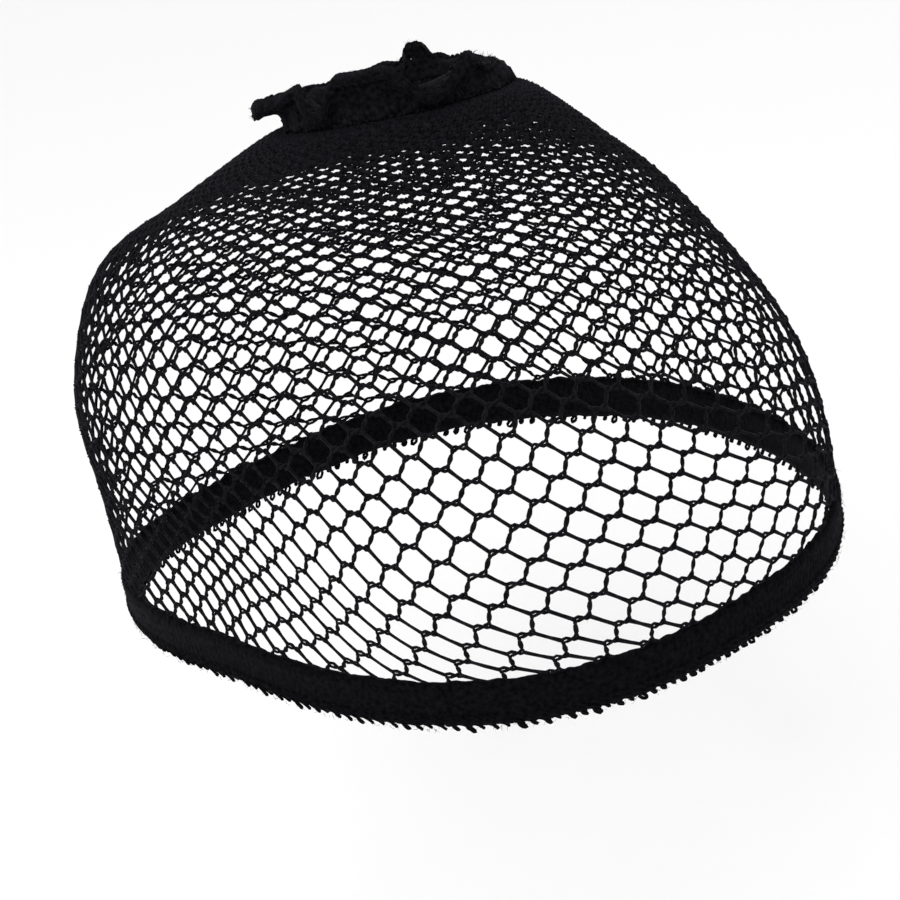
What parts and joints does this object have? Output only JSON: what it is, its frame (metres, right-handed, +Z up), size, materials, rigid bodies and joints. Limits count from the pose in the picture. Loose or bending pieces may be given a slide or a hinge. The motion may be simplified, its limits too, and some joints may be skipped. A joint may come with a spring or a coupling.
{
  "type": "fishnet wig cap",
  "caption": "Stretch fishnet wig cap in its worn form, with an open net crown, an elastic rim band and a gathered top that ends in a wavy frill.",
  "frame": {"origin": "middle of the opening, in the plane of the band's lower edge at the front and sides, where the cap sits on a head; the band dips below it at the back", "axes": "+Z up through the cap towards the gather, -Y towards the face, +X towards the wearer's left"},
  "size_m": [0.149, 0.1965, 0.1397],
  "materials": {
    "net_yarn": "matte stretch yarn, knitted as open net",
    "band_yarn": "fuzzy matte elastic knit",
    "tie_elastic": "matte covered elastic",
    "frill_yarn": "fuzzy matte knit"
  },
  "bodies": {
    "root": {"net_crown": "net_yarn", "rim_band": "band_yarn", "gather_tie": "tie_elastic", "top_ruffle": "frill_yarn"}
  },
  "joints": []
}
